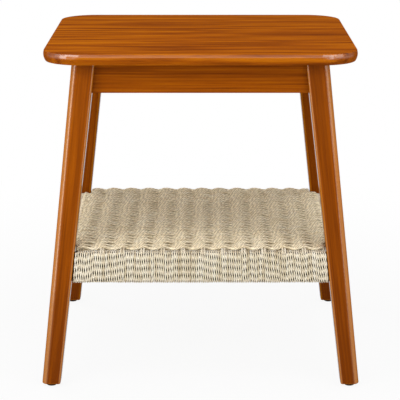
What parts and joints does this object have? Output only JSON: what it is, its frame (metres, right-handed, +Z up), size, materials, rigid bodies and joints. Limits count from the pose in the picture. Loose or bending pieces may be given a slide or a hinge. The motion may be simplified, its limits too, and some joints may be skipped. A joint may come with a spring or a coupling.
{
  "type": "end table with shelf",
  "caption": "End table with a thin rounded wood top, splayed tapered legs, recessed aprons and a lower shelf woven from cord.",
  "frame": {"origin": "on the floor under the middle of the table top", "axes": "+X to the right, +Y to the back, +Z up; the front, which the picture shows, faces -Y"},
  "size_m": [0.5302, 0.4902, 0.56],
  "materials": {
    "lacquered_wood": "stained honey brown under a clear gloss lacquer, straight grain",
    "bare_wood": "plain planed wood, unfinished",
    "twisted_cord": "pale straw cord of twisted paper or grass, matt",
    "black_plastic": "moulded black plastic",
    "steel": "zinc plated steel"
  },
  "bodies": {
    "root": {"table_top": "lacquered_wood", "leg_front_left": "lacquered_wood", "leg_front_right": "lacquered_wood", "leg_back_left": "lacquered_wood", "leg_back_right": "lacquered_wood", "apron_front": "lacquered_wood", "apron_back": "lacquered_wood", "apron_left": "lacquered_wood", "apron_right": "lacquered_wood", "corner_block_front_left": "bare_wood", "corner_block_front_right": "bare_wood", "corner_block_back_left": "bare_wood", "corner_block_back_right": "bare_wood", "shelf_rail_front": "lacquered_wood", "shelf_rail_back": "lacquered_wood", "shelf_rail_left": "lacquered_wood", "shelf_rail_right": "lacquered_wood", "cord_winding_front": "twisted_cord", "cord_winding_back": "twisted_cord", "cord_winding_left": "twisted_cord", "cord_winding_right": "twisted_cord", "woven_weft": "twisted_cord", "warp_cords": "twisted_cord", "glide_front_left": "black_plastic", "glide_front_right": "black_plastic", "glide_back_left": "black_plastic", "glide_back_right": "black_plastic", "glide_nails": "steel", "apron_dowels": "bare_wood", "shelf_dowels": "bare_wood", "block_screws": "steel", "top_screws": "steel"}
  },
  "joints": []
}
